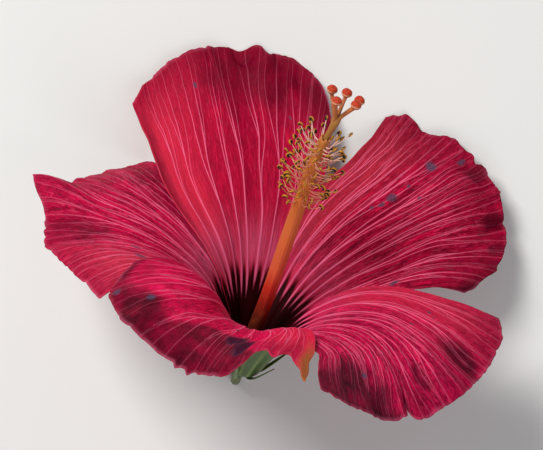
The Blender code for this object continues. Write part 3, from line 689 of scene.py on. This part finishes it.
def rolled(name, around, rows, places, masks):
    """Rolls a flat grid up into a closed skin and welds the seam.

    places(turn, row) gives points in the flower's frame, and masks(turn, row) the values to paint."""
    bpy.ops.mesh.primitive_grid_add(x_subdivisions=around, y_subdivisions=rows - 1, size=2.0)
    piece = bpy.context.object
    piece.name = piece.data.name = name
    across, up = (points_of(piece.data)[:, :2].T + 1.0) / 2.0
    turn = np.round(across * around) / around * 2.0 * math.pi
    row = np.round(up * (rows - 1)).astype(int)
    piece.data.vertices.foreach_set("co", laid(places(turn, row)).ravel())
    for mask_name, values in masks(turn, row).items():
        paint(piece.data, mask_name, values)
    bpy.ops.object.mode_set(mode="EDIT")
    bpy.ops.mesh.select_all(action="SELECT")
    bpy.ops.mesh.remove_doubles(threshold=0.000004)
    bpy.ops.mesh.normals_make_consistent(inside=False)
    bpy.ops.object.mode_set(mode="OBJECT")
    piece.data.shade_smooth()
    return piece


column_heights = np.concatenate([np.linspace(COLUMN_BOTTOM, COLUMN_TOP, OUTSIDE_ROWS),
                                 np.linspace(COLUMN_TOP, COLUMN_BOTTOM, BORE_ROWS)])


def column_places(turn, row):
    """Outside of the tube from its foot to its top, then down its bore."""
    height = column_heights[row]
    outside = row < OUTSIDE_ROWS
    ribs = 0.05 * np.cos(5.0 * turn + 0.03 * height) + 0.03 * np.cos(13.0 * turn + 0.02 * height)
    bumps = 0.10 * (mottle(turn * 6.0, height * 0.5, 71) - 0.5) * smooth(height, 28.0, 36.0)
    bore = 1.0 + 1.4 * (1.0 - smooth(height, -19.0, -13.0))
    mouth = smooth(height, COLUMN_TOP - 1.5, COLUMN_TOP)
    radius = np.where(outside, column_radius(height) + ribs + bumps, bore) - 0.12 * mouth * outside
    teeth = 0.9 * (0.5 + 0.5 * np.cos(5.0 * turn)) * mouth
    return column_centre(height) + round_axis(radius, turn, teeth)


def column_masks(turn, row):
    """How far up the column a point is, streaky low down where the dark red runs out."""
    height = column_heights[row]
    streak = mottle(turn * 9.0 / math.pi, height * 0.03, 72) - 0.5
    rise = height - COLUMN_BOTTOM + 9.0 * streak * (1.0 - smooth(height, 10.0, 20.0))
    return {"rise": np.clip(rise / (COLUMN_TOP - COLUMN_BOTTOM), 0.0, 1.0)}


def ramp(tree, value, stops):
    """Colours that follow a mask, from stops of (place, colour)."""
    made = node(tree, "ShaderNodeValToRGB")
    feed(tree, made.inputs["Fac"], value)
    elements = made.color_ramp.elements
    while len(elements) < len(stops):
        elements.new(0.5)
    for element, (place, colour) in zip(elements, stops):
        element.position = place
        element.color = shade(*colour)
    return made.outputs["Color"]


# Shared by the fleshy pieces: fine speckle over a colour, and a soft low relief.
flesh_group, given, gives = new_group(
    "flesh_grain", {"NodeSocketColor": ["Colour", "Fleck"], "NodeSocketFloat": ["Fleck Share"]},
    {"NodeSocketColor": ["Colour"], "NodeSocketFloat": ["Roughness", "Height"]})
tree = flesh_group
where = node(tree, "ShaderNodeTexCoord").outputs["Object"]
cells = noise(tree, where, 2400.0, 2.0, 0.6)
patches = noise(tree, where, 420.0, 3.0, 0.6)
flecked = sums(tree, "MULTIPLY", remap(tree, patches, 0.5, 0.72), given["Fleck Share"])
tinted = blend(tree, flecked, given["Colour"], given["Fleck"])
feed(tree, gives["Colour"], blend(tree, remap(tree, cells, 0.25, 0.75, 0.0, 0.25), tinted, given["Fleck"]))
feed(tree, gives["Roughness"], remap(tree, cells, 0.2, 0.8, 0.38, 0.6))
feed(tree, gives["Height"], sums(tree, "MULTIPLY_ADD", patches, 0.6, cells))


def flesh(name, colour_of, fleck, share, depth=0.00008, subsurface=0.15):
    """A fleshy, slightly glossy finish. colour_of makes the colour from the painted masks."""
    settings = {"Colour": colour_of, "Fleck": shade(*fleck), "Fleck Share": share}
    return grained_finish(name, flesh_group, settings, depth, {
        "Subsurface Weight": subsurface, "Subsurface Radius": (1.0, 0.5, 0.2), "Subsurface Scale": 0.0006})


def column_colour(tree):
    """Dark red at the foot, then orange."""
    return ramp(tree, mask(tree, "rise"), [
        (0.0, (52, 2, 4)), (0.2, (80, 2, 6)), (0.27, (150, 8, 14)), (0.34, (204, 40, 30)),
        (0.43, (224, 102, 66)), (0.6, (208, 112, 58)), (0.8, (196, 112, 42)), (1.0, (190, 118, 50))])


column = rolled("stamen_column", 72, OUTSIDE_ROWS + BORE_ROWS, column_places, column_masks)
column.data.materials.append(flesh("column_flesh", column_colour, (196, 90, 44), 0.25))
belongs(column, "column", "staminal_column")

# -------- filaments
# Fine stalks, one for each anther, in a spiral. Each grows out of the wall of the column and
# curves up and outwards; they are cream and pink, and palest near the top of the column.
STAMENS = 108
LOWEST_STAMEN = 36.0
STAMEN_ZONE = 20.5
GOLDEN_ANGLE = 137.5


def filament_points(index):
    """Four points of one filament, from inside the wall to its tip."""
    place = index / 3.0
    share = place / 35.0
    height = LOWEST_STAMEN + STAMEN_ZONE * min(share, 1.0)
    azimuth = math.radians(GOLDEN_ANGLE * (index // 3) + 20.0 + (0.0, 71.0, -52.0)[index % 3])
    reach = 5.0 + 1.2 * math.sin(math.pi * min(share, 1.0)) + 0.7 * math.sin(2.3 * place)
    rise = 2.4 + 1.4 * share + 0.8 * math.sin(1.7 * place)
    if index % 3:
        reach = reach - 0.5 - 0.7 * math.sin(3.1 * index)
        rise = rise + 0.7 * math.cos(2.1 * index)
    out = np.array([math.cos(azimuth), math.sin(azimuth), 0.0])
    up = np.array([0.0, 0.0, 1.0])
    foot = column_centre(height) + out * (float(column_radius(height)) - 0.1)
    bend = foot + out * reach * 0.55 + up * rise * 0.35
    return [foot - out * 0.3, foot + out * 1.2 + up * 0.1, bend, foot + out * (reach - 0.6) + up * rise]


def rods(name, paths, radii, sides):
    """Fine tapering rods along paths in the flower's frame, as one mesh."""
    bpy.ops.curve.primitive_nurbs_path_add()
    piece = bpy.context.object
    piece.name = name
    curve = piece.data
    curve.splines.clear()
    for path, sizes in zip(paths, radii):
        spline = curve.splines.new("NURBS")
        spline.points.add(len(path) - 1)
        for point, place, size in zip(spline.points, laid(path), sizes):
            point.co = (*place, 1.0)
            point.radius = size
        spline.order_u = 3
        spline.use_endpoint_u = True
        spline.resolution_u = 4
    curve.bevel_depth = MM
    curve.bevel_resolution = sides
    curve.use_fill_caps = True
    bpy.ops.object.convert(target="MESH")
    piece = bpy.context.object
    piece.data.name = name
    piece.data.shade_smooth()
    return piece


def in_flower(mesh):
    """The mesh's points in the flower's own frame, in millimetres."""
    return (points_of(mesh) - np.array(throat)) @ np.array(lay_down) / MM


filament_paths = [filament_points(index) for index in range(STAMENS)]
filaments = rods("filaments", filament_paths, [(0.2, 0.15, 0.12, 0.11)] * STAMENS, 1)
spots = in_flower(filaments.data)
from_axis = np.hypot(*(spots - column_centre(spots[:, 2]))[:, :2].T)
paint(filaments.data, "out", smooth(from_axis, 1.6, 6.0))
paint(filaments.data, "high", smooth(spots[:, 2], 44.0, 60.0))


def filament_colour(tree):
    """Pink flesh at the foot, cream further out, and nearly white at the top of the column."""
    lower = ramp(tree, mask(tree, "out"), [
        (0.0, (196, 104, 62)), (0.35, (214, 128, 108)), (1.0, (222, 164, 110))])
    return blend(tree, mask(tree, "high"), lower, shade(240, 206, 190))


filaments.data.materials.append(flesh("filament_flesh", filament_colour, (214, 120, 110), 0.3, 0.00003))
belongs(filaments, "column")

# -------- anthers
# Each filament ends in a small horseshoe that has split open: a fleshy rim crusted with golden
# pollen round a black-brown inside. The horseshoe opens back towards the column.
RING_RADIUS = 0.43
RING_THICKNESS = 0.26
HALF_OPENING = 0.75

bpy.ops.mesh.primitive_torus_add(
    major_segments=14, minor_segments=8, major_radius=RING_RADIUS, minor_radius=RING_THICKNESS)
pattern = bpy.context.object
shape_data = bmesh.new()
shape_data.from_mesh(pattern.data)
gone = [vert for vert in shape_data.verts if abs(math.atan2(vert.co.y, -vert.co.x)) < HALF_OPENING]
bmesh.ops.delete(shape_data, geom=gone, context="VERTS")
bmesh.ops.holes_fill(shape_data, edges=[edge for edge in shape_data.edges if edge.is_boundary])
dark_layer = shape_data.verts.layers.float.new("dark")
draw = random.Random(7)
for vert in shape_data.verts:
    inner = math.hypot(vert.co.x, vert.co.y) < RING_RADIUS + 0.01
    vert[dark_layer] = float(inner or abs(math.atan2(vert.co.y, -vert.co.x)) < HALF_OPENING + 0.2)
    vert.co = vert.co * (1.0 + draw.uniform(-0.05, 0.05))
    vert.co.z *= 0.85
bmesh.ops.recalc_face_normals(shape_data, faces=shape_data.faces)
shape_data.to_mesh(pattern.data)
shape_data.free()
pattern.data.shade_smooth()

anther_finish, tree, shader = new_finish("anther_pollen", {"Roughness": 0.8})
grains = noise(tree, node(tree, "ShaderNodeTexCoord").outputs["Object"], 5200.0, 2.0, 0.7)
pollen_colour = ramp(tree, remap(tree, grains, 0.3, 0.7), [
    (0.0, (98, 54, 4)), (0.45, (180, 116, 8)), (1.0, (224, 170, 28))])
inner_dark = remap(tree, mask(tree, "dark"), 0.25, 0.75)
feed(tree, shader.inputs["Base Color"], blend(tree, inner_dark, pollen_colour, shade(20, 9, 5)))
raise_grain(tree, shader, grains, 0.6, 0.00012)
pattern.data.materials.append(anther_finish)


def copied(pattern, name, points):
    """A copy of a pattern with its own mesh, its points given in the flower's frame."""
    mesh = pattern.data.copy()
    mesh.name = name
    mesh.vertices.foreach_set("co", laid(points).ravel())
    piece = bpy.data.objects.new(name, mesh)
    bpy.context.collection.objects.link(piece)
    return piece


for index, path in enumerate(filament_paths):
    heading = Vector(path[3] - path[2]).normalized()
    side = heading.orthogonal().normalized()
    side = Matrix.Rotation(draw.uniform(0.0, 6.28), 3, heading) @ side
    faced = np.array(Matrix((heading, side, heading.cross(side))))
    centre = Vector(path[3]) + heading * 0.48
    spots = points_of(pattern.data) * draw.uniform(1.1, 1.35) @ faced + np.array(centre)
    piece = copied(pattern, "pollen_head_%03d" % (index + 1), spots)
    solids = ["anther_%02d" % (index // 3 + 1)] if index % 3 == 0 else []
    belongs(piece, "anther", *solids)
bpy.data.objects.remove(pattern, do_unlink=True)

# -------- pistil
# The ovary sits at the foot of the column, and its style runs up the bore, comes out olive
# and translucent at the top, widens, and parts into five short branches.
STYLE_SPLIT = 65.5

stem_heights = [-21.7, -21.3, -20.5, -19.0, -17.5, -16.0, -14.5, -10.0, 10.0, 30.0, 50.0, 55.0, 58.0,
                60.5, 63.0, 64.7, 65.7]
stem_sizes = [0.6, 1.3, 1.8, 1.9, 1.5, 0.9, 0.62, 0.6, 0.6, 0.6, 0.62, 0.66, 0.74, 0.84, 1.0, 1.15, 0.9]
stem_paths = [[column_centre(height) for height in stem_heights]]
for tip in STIGMA_TIPS:
    goal = np.array(tip) - np.array([0.0, 0.0, 0.6])
    foot = column_centre(STYLE_SPLIT - 3.0)
    outward = (goal - column_centre(STYLE_SPLIT)) * np.array([1.0, 1.0, 0.0])
    lean = goal[0] - foot[0] - outward[0]
    rise = goal[2] - foot[2]
    path = [foot + outward * spread + [lean * drift, 0.0, rise * share]
            for spread, drift, share in ((0.12, 0.3, 0.3), (0.42, 0.6, 0.55), (0.85, 0.9, 0.86))]
    stem_paths.append([foot, *path, goal])
stem_radii = [stem_sizes] + [(0.5, 0.6, 0.52, 0.46, 0.62)] * len(STIGMA_TIPS)
style = rods("style_and_ovary", stem_paths, stem_radii, 4)
spots = in_flower(style.data)
paint(style.data, "rise", smooth(spots[:, 2], 56.0, 73.0))


def style_colour(tree):
    """Olive where it leaves the column, and warmer up the branches."""
    return ramp(tree, mask(tree, "rise"), [
        (0.0, (150, 112, 44)), (0.4, (164, 122, 54)), (0.7, (176, 118, 62)), (1.0, (196, 114, 62))])


style.data.materials.append(flesh("style_flesh", style_colour, (176, 52, 30), 0.55, 0.00006, 0.3))
belongs(style, "style", "pistil")

# -------- stigmas
# Five domed pads, one on each branch, covered with tiny glassy hairs like velvet. They are
# orange-red, with a pale fringe round the edge.
stigma_finish, tree, shader = new_finish("stigma_velvet", {
    "Roughness": 0.75, "Sheen Weight": 0.5, "Sheen Roughness": 0.3, "Sheen Tint": shade(255, 190, 150)})
pile = noise(tree, node(tree, "ShaderNodeTexCoord").outputs["Object"], 3600.0, 2.0, 0.6)
pad_colour = ramp(tree, remap(tree, pile, 0.3, 0.7), [
    (0.0, (140, 18, 2)), (0.55, (190, 46, 4)), (1.0, (224, 92, 18))])
feed(tree, shader.inputs["Base Color"], blend(tree, mask(tree, "edge"), pad_colour, shade(236, 182, 140)))
raise_grain(tree, shader, pile, 0.7, 0.00015)

for index, tip in enumerate(STIGMA_TIPS):
    bpy.ops.mesh.primitive_uv_sphere_add(segments=48, ring_count=24, radius=1.0)
    pad = bpy.context.object
    pad.name = pad.data.name = "velvet_pad_%d" % (index + 1)
    spots = points_of(pad.data)
    turn = np.arctan2(spots[:, 1], spots[:, 0])
    edge = 1.0 - smooth(np.abs(spots[:, 2] + 0.1), 0.05, 0.3)
    pile_height = np.random.RandomState(80 + index).uniform(-0.05, 0.02, len(spots))
    fringe = edge * 0.09 * np.cos(24.0 * turn) - 0.05 * edge
    width = np.hypot(spots[:, 0], spots[:, 1])
    plump = spots * np.array([1.42, 1.42, 1.2]) * (1.0 + pile_height + fringe)[:, None]
    plump[:, 2] += 0.06 * np.cos(2.0 * turn + index) * width
    pad.data.vertices.foreach_set("co", laid(plump + np.array(tip)).ravel())
    paint(pad.data, "edge", edge)
    pad.data.materials.append(stigma_finish)
    pad.data.shade_smooth()
    belongs(pad, "stigma", "stigma_%d" % (index + 1))

# -------- calyx
# The green cup that holds the petals' feet: a thick ribbed wall with five pointed lobes that
# lie along the outside of the throat, and a rounded base joined to the stalk.
CALYX_THICKNESS = 0.6
CALYX_GAP = 1.65
WALL_ROWS = 26


def throat_profile(distance, offset):
    """Radius and height of the outside of the throat, at distances along it and an offset out."""
    share = np.linspace(0.0, 1.0, 25)
    steps = share[:, None] * np.asarray(distance, float)[None, :]
    angles = np.radians(np.interp(steps, STATIONS[:3], THROAT))
    halfway = (angles[1:] + angles[:-1]) / 2.0
    radius = BASE_RADIUS + np.sum(np.sin(halfway) * np.diff(steps, axis=0), 0)
    height = BASE_HEIGHT + np.sum(np.cos(halfway) * np.diff(steps, axis=0), 0)
    return radius + offset * np.cos(angles[-1]), height - offset * np.sin(angles[-1])


base_profile = [(0.0, -23.5), (1.5, -23.5), (3.0, -23.5), (4.2, -23.5), (4.45, -23.3)]
inner_profile = [(4.2, -22.6), (2.1, -22.6), (0.0, -22.6)]
calyx_profile = np.array(base_profile + [(0.0, 0.0)] * 2 * WALL_ROWS + inner_profile)
first_wall = len(base_profile)
wall_shares = np.zeros(len(calyx_profile))
wall_shares[first_wall:first_wall + WALL_ROWS] = np.linspace(0.0, 1.0, WALL_ROWS)
wall_shares[first_wall + WALL_ROWS:first_wall + 2 * WALL_ROWS] = np.linspace(1.0, 0.0, WALL_ROWS)


def lobes(turn):
    """0 between two of the five lobes, and 1 at the middle of each."""
    return np.abs(((5.0 * turn / (2.0 * math.pi)) % 1.0) - 0.5) * 2.0


def calyx_places(turn, row):
    """Up the outside of the cup, over the lobes, and down the inside."""
    share = wall_shares[row]
    reach = 12.0 + 10.5 * lobes(turn) ** 0.8
    outer = row < first_wall + WALL_ROWS
    gap = CALYX_GAP + np.where(outer, 0.5, -0.5) * CALYX_THICKNESS
    ribs = 0.16 * (0.5 + 0.5 * np.cos(15.0 * turn)) ** 2 + 0.1 * lobes(turn) ** 6
    gap = gap + np.where(outer, ribs - 0.05, 0.0) * smooth(share, 0.0, 0.15) * (1.0 - 0.6 * share)
    radius, height = throat_profile(share * reach, gap)
    on_wall = (row >= first_wall) & (row < first_wall + 2 * WALL_ROWS)
    radius = np.where(on_wall, radius, calyx_profile[row, 0])
    height = np.where(on_wall, height, calyx_profile[row, 1])
    return round_axis(radius, turn + math.radians(FIRST_PETAL + PETAL_SPACING / 2.0), height)


def calyx_masks(turn, row):
    """The ribs, which fade towards the lobes, and the lobes' tips."""
    share = wall_shares[row]
    rib = (0.5 + 0.5 * np.cos(15.0 * turn)) ** 4
    return {"rib": rib * (1.0 - 0.5 * share), "tip": smooth(share * (0.4 + 0.6 * lobes(turn)), 0.8, 1.0)}


def green_colour(tree):
    """Leaf green with paler ribs, browned at the tips."""
    body = blend(tree, mask(tree, "rib"), shade(70, 96, 34), shade(126, 146, 74))
    return blend(tree, mask(tree, "tip"), body, shade(120, 78, 44))


green_flesh = flesh("calyx_skin", green_colour, (48, 66, 22), 0.5, 0.00015, 0.05)
calyx = rolled("green_cup", 240, len(calyx_profile), calyx_places, calyx_masks)
calyx.data.materials.append(green_flesh)
belongs(calyx, "calyx", "calyx")

# -------- bractlets
# Seven narrow green leaves in a whorl below the cup. Each is keeled, rises beside the cup and
# spreads at its pointed tip. The feet are level with the top of the stalk.
BRACTLETS = 7
LEAF_ROWS = 40
STALK_TOP = BASE_HEIGHT - 2.3

leaf_shares = np.linspace(0.0, 1.0, LEAF_ROWS)
leaf_path = np.stack([3.9 + 5.2 * leaf_shares**0.55 + 3.0 * leaf_shares**2, 0.0 * leaf_shares,
                      STALK_TOP + 0.1 + 10.0 * leaf_shares**1.35], -1)


def directions(path):
    """Unit direction of a path at each of its points."""
    tangent = np.gradient(path, axis=0)
    return tangent / np.linalg.norm(tangent, axis=1, keepdims=True)


def leaf_places(turn, row):
    """Round the leaf's lens-shaped section, from its foot to its tip."""
    step = np.clip(row - 1, 0, LEAF_ROWS - 1)
    tangent = directions(leaf_path)[step]
    face_out = np.stack([tangent[:, 2], 0.0 * turn, -tangent[:, 0]], -1)
    share = leaf_shares[step]
    half = 0.95 * (1.0 - 0.8 * share**2.5)
    thick = 0.28 * (1.0 - 0.5 * share) + 0.08 * bell(np.cos(turn), 0.0, 0.25) * (1.0 - share)
    open_row = np.where((row == 0) | (row == LEAF_ROWS + 1), 0.0, 1.0)
    side = np.array([0.0, 1.0, 0.0]) * (half * np.cos(turn) * open_row)[:, None]
    return leaf_path[step] + side + face_out * (thick * np.sin(turn) * open_row)[:, None]


def leaf_masks(turn, row):
    """The keel along the middle, and the brown tip."""
    return {"rib": bell(np.cos(turn), 0.0, 0.25), "tip": smooth((row - 1) / (LEAF_ROWS - 1.0), 0.85, 1.0)}


pattern = rolled("leaf_pattern", 24, LEAF_ROWS + 2, leaf_places, leaf_masks)
pattern.data.materials.append(green_flesh)
leaf_points = in_flower(pattern.data)
for index in range(BRACTLETS):
    azimuth = math.radians(360.0 / BRACTLETS * index + 10.0)
    spin = np.array([[math.cos(azimuth), math.sin(azimuth), 0.0],
                     [-math.sin(azimuth), math.cos(azimuth), 0.0], [0.0, 0.0, 1.0]])
    leaf = copied(pattern, "bract_leaf_%d" % (index + 1), leaf_points @ spin)
    belongs(leaf, "calyx", "bractlet_%d" % (index + 1))
bpy.data.objects.remove(pattern, do_unlink=True)

# -------- stalk
# What is left of the stalk: it widens into the disc under the flower, bends away, and ends in
# a clean cut that shows the pale pith in its green bark.
STALK_LENGTH = 15.0
STALK_RADIUS = 1.3
STALK_BENDS = 8
STALK_ROWS = 61

stalk_path = [np.array([0.0, 0.0, STALK_TOP - drop]) for drop in (0.0, 0.9, 2.0)]
stalk_radii = [3.0, 2.4, 1.3 * STALK_RADIUS] + [STALK_RADIUS] * STALK_BENDS
stalk_bend = np.array([0.0, 0.79, -0.62]) / math.hypot(0.79, 0.62)
for step in range(STALK_BENDS):
    share = min(1.0, (step + 1) / 4.0)
    heading = np.array([0.0, 0.0, -1.0]) * (1.0 - share) + stalk_bend * share
    stalk_path.append(stalk_path[-1] + heading / np.linalg.norm(heading) * STALK_LENGTH / STALK_BENDS)
knots = range(len(stalk_path))
stalk_stops = np.linspace(0.0, knots[-1], STALK_ROWS)
stalk_line = np.stack([np.interp(stalk_stops, knots, places) for places in np.transpose(stalk_path)], -1)
stalk_line[1:-1] = (stalk_line[:-2] + stalk_line[1:-1] * 2.0 + stalk_line[2:]) / 4.0
stalk_wide = np.interp(stalk_stops, knots, stalk_radii)


def stalk_places(turn, row):
    """From the middle of the disc, down the bark, to the middle of the cut."""
    step = np.clip(row - 2, 0, STALK_ROWS - 1)
    side = np.array([[1.0, 0.0, 0.0]])
    other = np.cross(directions(stalk_line)[step], side)
    inward = np.ones(len(row))
    inward[(row == 0) | (row == STALK_ROWS + 3)] = 0.0
    inward[(row == 1) | (row == STALK_ROWS + 2)] = 0.55
    ribs = 0.03 * np.cos(7.0 * turn) + 0.05 * (mottle(turn * 3.0, step * 0.3, 91) - 0.5)
    radius = (stalk_wide[step] * inward * (1.0 + ribs * smooth(step, 3, 12)))[:, None]
    return stalk_line[step] + radius * (side * np.cos(turn)[:, None] + other * np.sin(turn)[:, None])


def stalk_masks(turn, row):
    """Pale flecks in the bark, browning towards the cut, and the pith in the cut."""
    return {"rib": 0.4 * mottle(turn * 5.0, row * 0.15, 92), "tip": 0.7 * smooth(row, 40, 62),
            "pith": (row >= STALK_ROWS + 2).astype(float)}


def stalk_colour(tree):
    """Green bark that browns towards the cut, and cream pith."""
    body = blend(tree, mask(tree, "rib"), shade(74, 92, 36), shade(132, 142, 78))
    body = blend(tree, mask(tree, "tip"), body, shade(96, 66, 40))
    return blend(tree, mask(tree, "pith"), body, shade(206, 190, 140))


stalk = rolled("cut_stalk", 36, STALK_ROWS + 4, stalk_places, stalk_masks)
stalk.data.materials.append(flesh("stalk_bark", stalk_colour, (60, 52, 30), 0.6, 0.0002, 0.05))
belongs(stalk, "stalk", "stalk")
